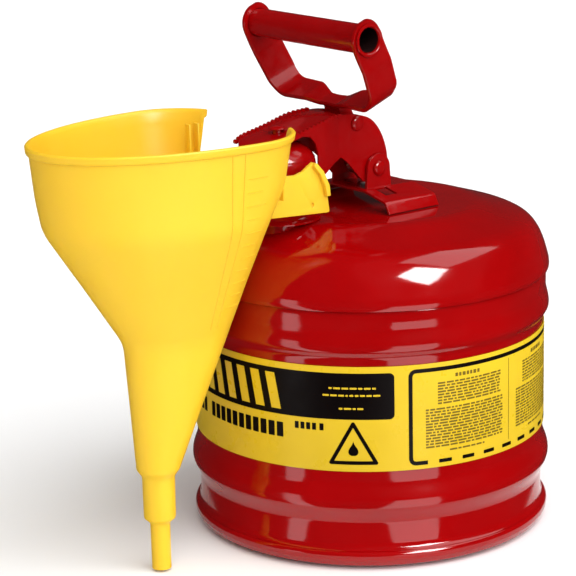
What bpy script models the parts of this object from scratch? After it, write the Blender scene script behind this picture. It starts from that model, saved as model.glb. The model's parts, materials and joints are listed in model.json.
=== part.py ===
"""Two-gallon steel safety can with a spring-loaded spout lid, a swinging handle and a clip-on funnel.

Lengths are written in millimetres and multiplied by MM when a mesh is made. Shapes are drawn in
the can's own frame: Z runs up the can's axis from the surface it stands on, and the spout and the
funnel are towards -Y. The empty "can_axis" then carries that frame to its place, so that the whole
object's box is centred on the world's Z axis. A moving piece hangs on an empty on its joint's axis.
"""
import math

import bmesh
import bpy
from mathutils import Matrix, Vector

MM = 0.001
GAP = 0.3                    # between pieces that touch on the real can

# Driving sizes
CAN_RADIUS = 120.65          # 9.5 inches across the rolled beads
WALL = 1.0                   # steel sheet of the body
SEGMENTS = 48                # facets round the can
FUNNEL_FRONT = -253.0        # foremost point of the funnel, from the can's axis
CAN_Y = -(FUNNEL_FRONT + CAN_RADIUS) / 2

# Heights up the can
LIP_TOP = 13.0               # top of the bottom chime, where the side wall stands
SEAM_Z = 171.3               # lap seam between the side wall and the domed top
DECK_Z = 215.6               # flat middle of the domed top
LABEL_LOW, LABEL_HIGH = 66.5, 135.5
LABEL_RADIUS = 117.2

# Spout and lid
SPOUT_Y = -74.0
SPOUT_RADIUS = 21.5
SPOUT_BORE = 18.7
SPOUT_TOP = 252.0
CAP_RADIUS = 25.0
SHEET = 1.5                  # pressed sheet of the bracket and the lever
PIN_RADIUS = 3.0
PIN_HOLE = 3.4
STUD_HOLE = 3.3
OUTLET_Y = -175.6            # centre of the funnel's outlet

# Joint axes, as (Y, Z) in the can's frame
LEVER_AXIS = (-4.5, 241.0)
HANDLE_AXIS = (-20.5, 272.5)
HANDLE_LEAN = math.radians(21.5)

# Handle, measured up its own arm from its axis
GRIP_HEIGHT = 65.7
GRIP_RADIUS = 9.3
GRIP_BORE = 7.8
ARM_X = 57.0                 # outer face of each arm
STRAP = 3.0
STRAP_LOW = 13.5             # underside of the strap at its middle


# ---------------------------------------------------------------- scene and materials

def clear_scene():
    for obj in list(bpy.data.objects):
        bpy.data.objects.remove(obj, do_unlink=True)


def material(name, colour, roughness, metallic=0.0):
    mat = bpy.data.materials.new(name)
    mat.use_nodes = True
    shader = mat.node_tree.nodes["Principled BSDF"]
    shader.inputs["Base Color"].default_value = (*colour, 1.0)
    shader.inputs["Roughness"].default_value = roughness
    shader.inputs["Metallic"].default_value = metallic
    mat.diffuse_color = (*colour, 1.0)
    return mat


def empty(name, parent, offset):
    """An empty at an offset from its parent, with the place it has in the can's frame."""
    obj = bpy.data.objects.new(name, None)
    obj.parent = parent
    obj.location = Vector(offset) * MM
    obj["place"] = Vector(parent["place"]) + Vector(offset) if parent else (0.0, 0.0, 0.0)
    bpy.context.collection.objects.link(obj)
    return obj


# ---------------------------------------------------------------- outlines

def arc(centre, radius, start, end, steps):
    """Points on an arc, angles in degrees."""
    angles = [math.radians(start + (end - start) * i / steps) for i in range(steps + 1)]
    return [(centre[0] + radius * math.cos(a), centre[1] + radius * math.sin(a)) for a in angles]


def fillet(points, radius, steps=4):
    """The same open path with its inner corners rounded."""
    rounded = [Vector(points[0])]
    for before, corner, after in zip(points, points[1:], points[2:]):
        corner = Vector(corner)
        to_before = (Vector(before) - corner).normalized()
        to_after = (Vector(after) - corner).normalized()
        half = to_before.angle(to_after) / 2
        reach = radius / math.tan(half)
        start, end = corner + to_before * reach, corner + to_after * reach
        for i in range(steps + 1):
            t = i / steps
            rounded.append(start * (1 - t) ** 2 + corner * (2 * t * (1 - t)) + end * t ** 2)
    rounded.append(Vector(points[-1]))
    return [tuple(p) for p in rounded]


def offset_path(points, distance):
    """The open path moved sideways, to its left for a positive distance."""
    points = [Vector(p) for p in points]
    moved = []
    for i, point in enumerate(points):
        before, after = points[max(i - 1, 0)], points[min(i + 1, len(points) - 1)]
        first = (point - before if i else after - point).normalized()
        second = (after - point if i < len(points) - 1 else point - before).normalized()
        normal = (Vector((-first.y, first.x)) + Vector((-second.y, second.x))).normalized()
        stretch = max(normal.dot(Vector((-first.y, first.x))), 0.5)
        moved.append(tuple(point + normal * (distance / stretch)))
    return moved


# ---------------------------------------------------------------- solids

def turned(profile, closed=True, segments=SEGMENTS, turn=360.0, start=0.0):
    """A profile of (radius, height) points spun about Z."""
    bm = bmesh.new()
    spin = Matrix.Rotation(math.radians(start), 3, "Z")
    verts = [bm.verts.new(spin @ Vector((r, 0.0, z))) for r, z in profile]
    edges = [bm.edges.new(pair) for pair in zip(verts, verts[1:])]
    if closed:
        edges.append(bm.edges.new((verts[-1], verts[0])))
    swept = verts + edges
    if turn < 360.0:
        swept.append(bm.faces.new(verts))
    bmesh.ops.spin(bm, geom=swept, cent=(0, 0, 0), axis=(0, 0, 1), angle=math.radians(turn), steps=segments)
    bmesh.ops.remove_doubles(bm, verts=bm.verts, dist=1e-3)
    return bm


def prism(outline, low, high, along="X"):
    """An outline pulled along X as (y, z), along Y as (x, z) or along Z as (x, y)."""
    index = "XYZ".index(along)
    rings = [[list(point) for point in outline] for _ in range(2)]
    for ring, level in zip(rings, (low, high)):
        for point in ring:
            point.insert(index, level)
    return lofted(rings)


def lofted(rings, closed=False):
    """Equal rings of points joined side to side, with capped ends unless they close on themselves."""
    bm = bmesh.new()
    rows = [[bm.verts.new(p) for p in ring] for ring in rings]
    pairs = list(zip(rows, rows[1:])) + ([(rows[-1], rows[0])] if closed else [])
    for lower, upper in pairs:
        for i in range(len(lower)):
            j = (i + 1) % len(lower)
            bm.faces.new((lower[i], lower[j], upper[j], upper[i]))
    if not closed:
        bm.faces.new(rows[0])
        bm.faces.new(rows[-1])
    return bm


def cylinder(radius, low, high, along="X", centre=(0.0, 0.0), sides=24):
    return prism(arc(centre, radius, 0, 360 - 360 / sides, sides - 1), low, high, along)


def add(name, bm, mat, carrier):
    """Turn a bmesh in the can's frame into an object on its carrier."""
    bmesh.ops.translate(bm, verts=bm.verts, vec=-Vector(carrier["place"]))
    bmesh.ops.scale(bm, verts=bm.verts, vec=(MM, MM, MM))
    bmesh.ops.recalc_face_normals(bm, faces=bm.faces)
    mesh = bpy.data.meshes.new(name)
    bm.to_mesh(mesh)
    bm.free()
    mesh.shade_smooth()
    mesh.set_sharp_from_angle(angle=math.radians(35))
    obj = bpy.data.objects.new(name, mesh)
    obj.parent = carrier
    bpy.context.collection.objects.link(obj)
    if mat:
        mesh.materials.append(mat)
    return obj


def boolean(obj, operation, name, bm):
    """A Boolean with a hidden tool that shares the object's carrier."""
    tool = add(name, bm, None, obj.parent)
    tool.hide_render = True
    tool.display_type = "WIRE"
    modifier = obj.modifiers.new(name, "BOOLEAN")
    modifier.operation = operation
    modifier.solver = "EXACT"
    modifier.object = tool
    return tool


def coil(name, path, wire, mat, carrier):
    """A wire along a path, as a curve with round section and closed ends."""
    curve = bpy.data.curves.new(name, "CURVE")
    curve.dimensions = "3D"
    curve.bevel_depth = wire / 2 * MM
    curve.bevel_resolution = 1
    curve.use_fill_caps = True
    spline = curve.splines.new("POLY")
    spline.points.add(len(path) - 1)
    for point, place in zip(spline.points, path):
        point.co = (*((Vector(place) - Vector(carrier["place"])) * MM), 1.0)
    curve.materials.append(mat)
    obj = bpy.data.objects.new(name, curve)
    obj.parent = carrier
    bpy.context.collection.objects.link(obj)
    return obj


# ---------------------------------------------------------------- can body

def bottom_pan(mat, carrier):
    """Bottom sheet with its rolled chime and the flange that stands inside the side wall."""
    bore = 114.4
    profile = [(0, 9.5), (bore - 0.8, 9.5), (bore - 0.8, 18), (bore, 18), (bore, LIP_TOP), (118, LIP_TOP),
               (119.5, 10.5), (119.5, 8), (118, 5), (111, 0), (107.5, 0), (104.5, 8.3), (0, 8.3)]
    return add("bottom_pan", turned(profile, closed=False), mat, carrier)


def side_wall(mat, carrier):
    """Rolled sheet with two beads and a joggled top edge that goes up inside the dome's skirt."""
    outer = [(115.7, LIP_TOP + GAP), (115.7, 31), (118.2, 38.5), (CAN_RADIUS, 45.5), (118.9, 53.5),
             (116.9, 60), (116.9, 140), (118.7, 142.5), (CAN_RADIUS, 148), (119.9, 153), (118.6, 158),
             (118.6, SEAM_Z - GAP), (117, SEAM_Z - GAP), (117, SEAM_Z + 8)]
    profile = outer + offset_path(outer, WALL)[::-1]
    return add("side_wall", turned(profile), mat, carrier)


def dome_top(mat, carrier):
    """Domed top with a third bead and a hole for the spout."""
    outer = [(119.8, SEAM_Z), (CAN_RADIUS, 173.5), (CAN_RADIUS, 176), (119, 182.5), (117, 189),
             (113.6, 196.3), (109, 202.2), (103.5, 205.2), (78, 213.5), (70, DECK_Z)]
    inner = offset_path(outer, WALL)
    profile = [(0, DECK_Z)] + outer[::-1] + inner + [(0, DECK_Z - WALL)]
    dome = add("dome_top", turned(profile, closed=False), mat, carrier)
    boolean(dome, "DIFFERENCE", "spout_hole", cylinder(20.3, 200, 230, "Z", (0, SPOUT_Y), 32))
    return dome


def label_band(mat, carrier):
    """Printed band round the can, with its two ends apart at the back."""
    facet = 360 / SEGMENTS
    profile = [(LABEL_RADIUS, LABEL_LOW), (LABEL_RADIUS + 0.4, LABEL_LOW),
               (LABEL_RADIUS + 0.4, LABEL_HIGH), (LABEL_RADIUS, LABEL_HIGH)]
    band = turned(profile, segments=SEGMENTS - 2, turn=360 - 2 * facet, start=90 + facet)
    return add("label_band", band, mat, carrier)


def spout_neck(mat, carrier):
    """Spout with a flange on the dome and a rolled rim for the gasket."""
    foot = DECK_Z + GAP
    top = SPOUT_TOP
    profile = [(SPOUT_BORE, 208), (19.9, 208), (19.9, foot), (27, foot), (27, foot + 1.2),
               (SPOUT_RADIUS + 0.8, foot + 2.2), (SPOUT_RADIUS, foot + 4.5), (SPOUT_RADIUS, top - 4.2),
               (22.8, top - 3), (22.8, top - 1), (21.6, top), (19.8, top), (SPOUT_BORE, top - 1.2)]
    return add("spout_neck", at_spout(turned(profile, segments=32)), mat, carrier)


def at_spout(bm):
    bmesh.ops.translate(bm, verts=bm.verts, vec=(0, SPOUT_Y, 0))
    return bm


def flame_arrester(steel, mesh_mat, carrier):
    """Two screens, one inside the other, on a collar that a spring ring holds in the spout."""
    seat = SPOUT_TOP - 9
    collar = [(18.3, seat), (18.3, seat + 3.2), (15.4, seat + 3.2), (15.4, seat)]
    add("arrester_collar", at_spout(turned(collar, segments=32)), steel, carrier)
    for name, radius, low in (("arrester_outer_screen", 18.0, 130.0), ("arrester_inner_screen", 15.8, 136.0)):
        high = seat - GAP
        screen = [(0, low + 0.7), (radius - 0.7, low + 0.7), (radius - 0.7, high), (radius, high),
                  (radius, low), (0, low)]
        add(name, at_spout(turned(screen, closed=False, segments=24)), mesh_mat, carrier)
    ring = [(18.4, seat + 3.5), (18.4, seat + 4.9), (17, seat + 4.9), (17, seat + 3.5)]
    add("arrester_ring", at_spout(turned(ring, segments=32, turn=345, start=97.5)), steel, carrier)


# ---------------------------------------------------------------- hinge

def hinge_bracket(mat, carrier):
    """Hat-shaped plate welded to the dome, with two ears that hold the lever's pin."""
    low = DECK_Z + GAP
    rise = 12.5
    under = [(-44, low), (-37, low), (-23, low + rise - SHEET), (23, low + rise - SHEET), (37, low), (44, low)]
    top = offset_path(under, SHEET)
    plate = add("hinge_bracket", prism(top + under[::-1], -19, 23.5, "Y"), mat, carrier)
    y = LEVER_AXIS[0]
    ear = arc(LEVER_AXIS, 9.5, 0, 180, 10) + [(y - 10.5, low + rise - 1), (y + 10.5, low + rise - 1)]
    for side, inner in (("right", 16.0), ("left", -16.0 - 2.2)):
        boolean(plate, "UNION", "ear_" + side, prism(ear, inner, inner + 2.2))
    boolean(plate, "DIFFERENCE", "ear_holes", cylinder(PIN_HOLE, -25, 25, "X", LEVER_AXIS))
    return plate


def pin(name, axis, half, mat, carrier):
    """Round pin along X with a low riveted head outside each ear."""
    side = [(0, half + 2), (3.4, half + 1.4), (5, half + 0.2), (5, half), (PIN_RADIUS, half)]
    profile = side + [(r, -x) for r, x in reversed(side)]
    bm = turned(profile, closed=False, segments=20)
    bmesh.ops.rotate(bm, verts=bm.verts, matrix=Matrix.Rotation(math.pi / 2, 3, "Y"))
    bmesh.ops.translate(bm, verts=bm.verts, vec=(0, *axis))
    return add(name, bm, mat, carrier)


def lever_spring(mat, carrier):
    """Torsion spring on the pin: one leg on the bracket, the other up inside the lever."""
    y, z = LEVER_AXIS
    coil_radius, turns, pitch, steps = 6.0, 5.25, 2.6, 12
    left = -turns * pitch / 2
    path = [(left, y + 9, DECK_Z + 14.2), (left, y + 4, DECK_Z + 14.6)]
    for i in range(int(turns * steps) + 1):
        angle = math.radians(270) - math.tau * i / steps
        path.append((left + pitch * i / steps, y + coil_radius * math.cos(angle),
                     z + coil_radius * math.sin(angle)))
    path.append((-left, y - coil_radius - 0.5, z + 20))
    return coil("lever_spring", path, 2.0, mat, carrier)


# ---------------------------------------------------------------- lid lever

def lever_side():
    """Outer line of the lever from its front tip over the crown and down behind the pin."""
    return [(-98.5, 260), (-98, 264), (-94.5, 267), (-88, 268.8), (-70, 272.7), (-48, 278.4), (-34, 279.6),
            (-20, 278), (-9, 274), (-1.5, 266), (3.5, 255), (5.2, 244), (3.5, 235)]


def lever_plan(inset=0.0):
    """The lever seen from above, as a closed outline."""
    right = [(9, -98), (15, -94), (19, -85), (19, -50), (15.5, -36), (15.5, 8)]
    if inset:
        right = offset_path(right, inset)
        right[0] = (right[0][0], -98 + inset)
    return right + [(-x, y) for x, y in reversed(right)]


def lid_lever(mat, carrier):
    """Pressed channel from the pin, up over the crown and down on to the cap."""
    low = [(-9, 233), (-15.5, 233), (-20, 238), (-28, 247), (-34, 252), (-42, 248.5), (-50.6, 243.5),
           (-53.5, 251), (-56.5, 261), (-60, 266.5), (-66, 268.5), (-76, 266.8), (-90, 263.5), (-96, 261)]
    lever = add("lid_lever", prism(lever_side() + low, -30, 30), mat, carrier)
    boolean(lever, "INTERSECT", "lever_plan", prism(lever_plan(), 220, 295, "Z"))
    inner = offset_path(lever_side(), -SHEET)
    core = boolean(lever, "DIFFERENCE", "lever_core",
                   prism(inner + [(inner[-1][0], 220), (inner[0][0], 220)], -29, 29))
    boolean(core, "INTERSECT", "lever_core_plan", prism(lever_plan(SHEET), 215, 300, "Z"))
    cuts = (("pin_holes", cylinder(PIN_HOLE, -20, 20, "X", LEVER_AXIS)),
            ("handle_holes", cylinder(PIN_HOLE, -20, 20, "X", HANDLE_AXIS)),
            ("stud_hole", cylinder(PIN_HOLE, 265, 285, "Z", (0, SPOUT_Y))),
            ("crown_slot", prism([(-32.5, 271), (-7, 267), (-7, 285), (-32.5, 285)], -9.5, 9.5)))
    for name, bm in cuts:
        boolean(lever, "DIFFERENCE", name, bm)
    return lever


# ---------------------------------------------------------------- cap

def cap(steel, rubber, painted, carrier):
    """Cap, gasket and retainer on a stud that slides in the lever against a small spring."""
    seat = SPOUT_TOP + GAP
    skirt_low, crest = 245.0, 266.5
    outer = [(STUD_HOLE, crest), (9, crest - 0.7), (15, crest - 2.6), (19.5, crest - 5.6),
             (23, crest - 9.8), (24.7, crest - 14.2), (CAP_RADIUS, skirt_low)]
    shell = outer + [(23.9, skirt_low), (23.9, seat + 3.6), (STUD_HOLE, seat + 3.6)]
    add("cap_shell", at_spout(turned(shell, segments=32)), painted, carrier)
    gasket = [(STUD_HOLE, seat), (23.5, seat), (23.5, seat + 3.3), (STUD_HOLE, seat + 3.3)]
    add("cap_gasket", at_spout(turned(gasket, segments=32)), rubber, carrier)
    plate = [(STUD_HOLE, seat - GAP - 1.2), (14, seat - GAP - 1.2), (14, seat - GAP), (STUD_HOLE, seat - GAP)]
    add("gasket_retainer", at_spout(turned(plate, segments=32)), steel, carrier)
    head = seat - GAP - 1.2 - GAP
    rivet = 273.9
    stud = [(0, head - 1.8), (4.5, head - 1.2), (5.5, head), (PIN_RADIUS, head), (PIN_RADIUS, rivet),
            (5.5, rivet), (4.8, rivet + 1.2), (2.8, rivet + 2.0), (0, rivet + 2.2)]
    add("cap_stud", at_spout(turned(stud, closed=False, segments=20)), steel, carrier)


def cap_spring(mat, carrier):
    """One-turn spring washer round the stud, between the cap and the lever."""
    low, high, radius, steps = 267.4, 268.4, 5.0, 16
    path = []
    for i in range(steps + 1):
        angle = math.tau * i / steps
        path.append((radius * math.cos(angle), SPOUT_Y + radius * math.sin(angle),
                     low + (high - low) * i / steps))
    return coil("cap_spring", path, 1.2, mat, carrier)


# ---------------------------------------------------------------- handle

def in_handle(bm):
    """Carry a shape drawn upright above the handle's axis to the handle's leaning rest place."""
    bmesh.ops.rotate(bm, verts=bm.verts, matrix=Matrix.Rotation(HANDLE_LEAN, 3, "X"))
    bmesh.ops.translate(bm, verts=bm.verts, vec=(0, *HANDLE_AXIS))
    return bm


def handle_bail(mat, carrier):
    """Flat strap with two upright arms and a dip in the middle, bored for the grip."""
    mid = STRAP_LOW + STRAP / 2
    arm = ARM_X - STRAP / 2
    half = fillet([(arm, GRIP_HEIGHT + 16), (arm, 47), (52, 27), (44, 18.5), (20, 18.5), (9, mid), (0, mid)],
                  12, steps=4)
    path = half + [(-x, w) for x, w in reversed(half[:-1])]
    outline = offset_path(path, STRAP / 2) + offset_path(path, -STRAP / 2)[::-1]
    bail = add("handle_bail", in_handle(prism(outline, -20, 20, "Y")), mat, carrier)
    front, rear = -12.6, 11.4
    tip = arc((0, GRIP_HEIGHT), -front, 180, 100, 8)
    side = tip + [(rear - 1.5, GRIP_HEIGHT + 11), (rear, GRIP_HEIGHT + 9.5), (13.5, 30), (12, 19.5), (9.5, 15),
                  (9.5, 8), (-9.5, 8), (-9.5, 15), (-10, 30)]
    boolean(bail, "INTERSECT", "strap_taper", in_handle(prism(side, -70, 70)))
    boolean(bail, "DIFFERENCE", "grip_holes",
            in_handle(cylinder(GRIP_RADIUS + GAP, -70, 70, "X", (0, GRIP_HEIGHT), 32)))
    return bail


def handle_grip(mat, carrier):
    """Steel tube through both arms."""
    bm = turned([(GRIP_BORE, -ARM_X - 0.8), (GRIP_RADIUS, -ARM_X - 0.8), (GRIP_RADIUS, ARM_X + 0.8),
                 (GRIP_BORE, ARM_X + 0.8)], segments=32)
    bmesh.ops.rotate(bm, verts=bm.verts, matrix=Matrix.Rotation(math.pi / 2, 3, "Y"))
    bmesh.ops.translate(bm, verts=bm.verts, vec=(0, 0, GRIP_HEIGHT))
    return add("handle_grip", in_handle(bm), mat, carrier)


def handle_knuckle(mat, carrier):
    """Bored block welded under the strap; it turns on the handle's pin."""
    top = STRAP_LOW - GAP
    side = [(4.2, top), (-4.2, top)] + arc((0, 0), 6, 150, 390, 12)
    knuckle = add("handle_knuckle", in_handle(prism(side, -8, 8)), mat, carrier)
    boolean(knuckle, "DIFFERENCE", "knuckle_bore", in_handle(cylinder(PIN_HOLE, -12, 12)))
    return knuckle


# ---------------------------------------------------------------- funnel

def cup_ring(z, half, front, widest, corner, inset=0.0):
    """Level ring: half an ellipse in front, then round corners back to a flat rear wall."""
    half, front, corner = half - inset, front + inset, max(corner - inset, 1.0)
    nose = arc((0, 0), 1.0, 180, 360, 20)
    rear = arc((half - corner, widest), corner, 0, 90, 6)[1:]
    ring = [(half * x, widest + (widest - front) * y) for x, y in nose]
    ring += rear + [(-x, y) for x, y in reversed(rear)]
    return [(x, y, z) for x, y in ring]


def funnel_body(mat, carrier):
    """Moulded funnel with an open back, two pegged ears beside the spout and a stepped outlet."""
    rim, tip, wall = 284, 2, 2.0
    levels = [(rim, 70, FUNNEL_FRONT, -135.5, 40), (250, 65, -250, -137, 36), (230, 62, -246, -144, 31),
              (190, 43, -219.5, -147, 28), (153, 26, -195.5, -149, 25)]
    for z, radius in ((69, 14), (64, 10.5), (36, 10.3), (33, 6.4), (tip, 6.2)):
        levels.append((z, radius, OUTLET_Y - radius, OUTLET_Y, radius))
    outer = [cup_ring(*level) for level in levels]
    inner = [cup_ring(z if z in (rim, tip) else z - 1.5, *rest, wall) for z, *rest in levels]
    funnel = add("funnel_body", lofted(outer + inner[::-1], closed=True), mat, carrier)
    boolean(funnel, "DIFFERENCE", "open_back",
            prism([(-125, 237), (-90, 237), (-90, 290), (-125, 290)], -44, 44))
    ear = [(-116, 226.5), (-58.4, 223), (-61.4, 237.3), (-71.5, 256.5), (-86, 246), (-116, 235.5)]
    for side in (1, -1):
        low, high = sorted((side * 31.0, side * 33.5))
        boolean(funnel, "UNION", "ear_%d" % side, prism(ear, low, high))
        low, high = sorted((side * 22.2, side * 32.0))
        boolean(funnel, "UNION", "peg_%d" % side, cylinder(3.0, low, high, "X", (-73, 229.2), 12))
    return funnel


# ---------------------------------------------------------------- assembly

def build():
    clear_scene()
    red = material("red_paint", (0.50, 0.005, 0.01), 0.25)
    yellow = material("yellow_plastic", (0.95, 0.72, 0.03), 0.42)
    label = material("label_print", (0.90, 0.68, 0.03), 0.4)
    steel = material("zinc_steel", (0.62, 0.62, 0.60), 0.35, 1.0)
    screen = material("screen_steel", (0.45, 0.45, 0.44), 0.5, 1.0)
    rubber = material("gasket_rubber", (0.02, 0.02, 0.02), 0.8)

    can = empty("can_axis", None, (0.0, CAN_Y, 0.0))
    lever = empty("lever_axis", can, (0.0, *LEVER_AXIS))
    cap_axis = empty("cap_axis", can, (0.0, SPOUT_Y, SPOUT_TOP))
    handle = empty("handle_axis", can, (0.0, *HANDLE_AXIS))
    funnel = empty("funnel_axis", can, (0.0, SPOUT_Y, 0.0))

    bottom_pan(red, can)
    side_wall(red, can)
    dome_top(red, can)
    label_band(label, can)
    spout_neck(red, can)
    flame_arrester(steel, screen, can)
    hinge_bracket(red, can)
    pin("lever_pin", LEVER_AXIS, 18.5, steel, can)
    lever_spring(steel, can)

    lid_lever(red, lever)
    pin("handle_pin", HANDLE_AXIS, 15.8, steel, lever)
    cap_spring(steel, lever)

    cap(steel, rubber, red, cap_axis)

    handle_bail(red, handle)
    handle_grip(red, handle)
    handle_knuckle(red, handle)

    funnel_body(yellow, funnel)
    bpy.context.view_layer.update()


build()
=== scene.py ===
import json
import math
import random

import bmesh
import bpy
from mathutils import Matrix, Vector


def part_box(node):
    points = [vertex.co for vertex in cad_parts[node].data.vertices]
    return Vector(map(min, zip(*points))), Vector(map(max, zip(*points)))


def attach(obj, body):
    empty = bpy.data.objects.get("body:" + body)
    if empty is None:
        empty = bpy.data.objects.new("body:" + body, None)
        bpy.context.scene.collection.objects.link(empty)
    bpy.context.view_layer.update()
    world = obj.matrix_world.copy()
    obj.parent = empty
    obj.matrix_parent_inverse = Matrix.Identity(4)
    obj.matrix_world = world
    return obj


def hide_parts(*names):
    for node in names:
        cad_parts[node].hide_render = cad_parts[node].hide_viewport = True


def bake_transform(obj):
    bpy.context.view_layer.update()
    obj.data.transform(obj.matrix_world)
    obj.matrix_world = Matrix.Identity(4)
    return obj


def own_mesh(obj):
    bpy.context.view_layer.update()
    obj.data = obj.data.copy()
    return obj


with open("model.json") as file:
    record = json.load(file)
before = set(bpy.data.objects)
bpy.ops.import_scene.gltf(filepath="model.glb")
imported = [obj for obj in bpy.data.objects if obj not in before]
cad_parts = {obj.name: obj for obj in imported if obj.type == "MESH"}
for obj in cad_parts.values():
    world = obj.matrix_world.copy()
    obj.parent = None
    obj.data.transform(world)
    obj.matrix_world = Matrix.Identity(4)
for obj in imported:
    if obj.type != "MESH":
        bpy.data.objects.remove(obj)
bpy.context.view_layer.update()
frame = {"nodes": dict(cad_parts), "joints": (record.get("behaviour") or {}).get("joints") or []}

# Shapes are drawn in millimetres in the can's own frame: Z runs up the can's axis from the floor,
# and the spout and the funnel are towards -Y. piece() carries them into the shared frame.
MM = 0.001
CAN_Y = (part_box("side_wall")[0].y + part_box("side_wall")[1].y) / 2 / MM


def extent(node):
    """A CAD node's lowest and highest corners, in millimetres in the can's frame."""
    return [corner / MM - Vector((0, CAN_Y, 0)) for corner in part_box(node)]


def joint_axis(name):
    """A hinge's place as (y, z) in the can's frame."""
    place = next(joint["pos_m"] for joint in frame["joints"] if joint["name"] == name)
    return place[1] / MM - CAN_Y, place[2] / MM


# Driving sizes, from the frame
CAN_RADIUS = extent("side_wall")[1].x
WALL_LOW = extent("side_wall")[0].z
SEAM = extent("dome_top")[0].z
DECK = extent("dome_top")[1].z
LABEL_LOW, LABEL_HIGH = extent("label_band")[0].z, extent("label_band")[1].z
LABEL_RADIUS = extent("label_band")[1].x
SPOUT_Y = (extent("spout_neck")[0].y + extent("spout_neck")[1].y) / 2
SPOUT_TOP = extent("spout_neck")[1].z
CAP_LOW, CAP_TOP = extent("cap_shell")[0].z, extent("cap_shell")[1].z
CAP_RADIUS = extent("cap_shell")[1].x
LEVER_AXIS = joint_axis("lid_hinge")
HANDLE_AXIS = joint_axis("handle_swing")
FUNNEL_FRONT = extent("funnel_body")[0].y
RIM, TIP = extent("funnel_body")[1].z, extent("funnel_body")[0].z
ARM_X = extent("handle_bail")[1].x
GRIP_END = extent("handle_grip")[1].x
GRIP_RADIUS = (extent("handle_grip")[1].z - extent("handle_grip")[0].z) / 2

# Sizes of the real object that its boxes don't give
SHEET = 1.5                       # pressed steel of the lever and the bracket
SPOUT_BORE = 18.7
PIN_HOLE = 3.4                    # radius of the holes for the pins and the cap's stud
OUTLET_Y = -175.6                 # centre of the funnel's outlet
HANDLE_LEAN = math.radians(21.5)
GRIP_HEIGHT = 65.7                # from the handle's axis up its own arm
STRAP_FRONT = 12.6                # from the strap's middle line to its front edge; its upper ends' radius


# ---------------------------------------------------------------- materials

def new_material(name, colour, roughness, **sockets):
    mat = bpy.data.materials.new(name)
    mat.use_nodes = True
    shader = mat.node_tree.nodes["Principled BSDF"]
    shader.inputs["Base Color"].default_value = (*colour, 1)
    shader.inputs["Roughness"].default_value = roughness
    for socket, value in sockets.items():
        shader.inputs[socket.replace("_", " ")].default_value = value
    return mat


def noise(mat, scale, detail=2.0, stretch=None):
    """A noise texture on the object's own coordinates, in features per metre."""
    nodes, links = mat.node_tree.nodes, mat.node_tree.links
    place = nodes.new("ShaderNodeTexCoord").outputs["Object"]
    if stretch:
        mapping = nodes.new("ShaderNodeMapping")
        mapping.inputs["Scale"].default_value = stretch
        links.new(place, mapping.inputs["Vector"])
        place = mapping.outputs["Vector"]
    texture = nodes.new("ShaderNodeTexNoise")
    texture.inputs["Scale"].default_value = scale
    texture.inputs["Detail"].default_value = detail
    links.new(place, texture.inputs["Vector"])
    return texture.outputs["Fac"]


def spread(mat, source, low, high, socket, start=0.3, end=0.7):
    """Spread a texture between two values of a socket; a colour is given as three numbers."""
    nodes, links = mat.node_tree.nodes, mat.node_tree.links
    ramp = nodes.new("ShaderNodeValToRGB")
    ramp.color_ramp.elements[0].position = start
    ramp.color_ramp.elements[1].position = end
    for element, value in zip(ramp.color_ramp.elements, (low, high)):
        element.color = (*value, 1) if isinstance(value, tuple) else (value, value, value, 1)
    links.new(source, ramp.inputs["Fac"])
    links.new(ramp.outputs["Color"], nodes["Principled BSDF"].inputs[socket])


def bump(mat, *layers):
    """Layers of (height texture, depth in millimetres), one over the other."""
    nodes, links = mat.node_tree.nodes, mat.node_tree.links
    below = None
    for height, depth in layers:
        node = nodes.new("ShaderNodeBump")
        node.inputs["Strength"].default_value = 1.0
        node.inputs["Distance"].default_value = depth * MM
        links.new(height, node.inputs["Height"])
        if below:
            links.new(below, node.inputs["Normal"])
        below = node.outputs["Normal"]
    links.new(below, nodes["Principled BSDF"].inputs["Normal"])


def enamel(name, rough=False):
    """Baked red enamel, with slight orange peel and, on rough pressings, a coarser skin."""
    mat = new_material(name, (0.30, 0.0005, 0.001), 0.09, Specular_IOR_Level=0.35 if rough else 0.5)
    spread(mat, noise(mat, 14, 3), (0.27, 0.0004, 0.0008), (0.33, 0.0006, 0.0013), "Base Color")
    if rough:
        spread(mat, noise(mat, 160, 4), 0.10, 0.22, "Roughness")
        bump(mat, (noise(mat, 120, 2), 0.28), (noise(mat, 420, 3), 0.05))
    else:
        spread(mat, noise(mat, 40, 4), 0.06, 0.12, "Roughness")
        bump(mat, (noise(mat, 60, 1), 0.04), (noise(mat, 420, 2), 0.006))
    return mat


def yellow_plastic():
    """Moulded polyethylene: satin, slightly translucent, with faint flow marks."""
    mat = new_material("funnel_plastic", (0.88, 0.55, 0.024), 0.36, Subsurface_Weight=0.12,
                       Subsurface_Scale=0.004, Specular_IOR_Level=0.3)
    mat.node_tree.nodes["Principled BSDF"].inputs["Subsurface Radius"].default_value = (1, 0.6, 0.1)
    spread(mat, noise(mat, 10, 3, (1, 1, 0.35)), (0.86, 0.51, 0.018), (0.90, 0.58, 0.032), "Base Color")
    spread(mat, noise(mat, 70, 4), 0.30, 0.44, "Roughness")
    bump(mat, (noise(mat, 24, 2, (1, 1, 0.3)), 0.25), (noise(mat, 700, 3), 0.02))
    return mat


def print_film(name, colour, roughness, specular=0.3):
    """Printed label film, with faint ripples from the sheet under it."""
    mat = new_material(name, colour, roughness, Specular_IOR_Level=specular)
    darker = tuple(0.9 * channel for channel in colour)
    spread(mat, noise(mat, 18, 4), darker, colour, "Base Color")
    spread(mat, noise(mat, 90, 3), roughness - 0.05, roughness + 0.07, "Roughness")
    bump(mat, (noise(mat, 30, 2), 0.04))
    return mat


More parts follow.
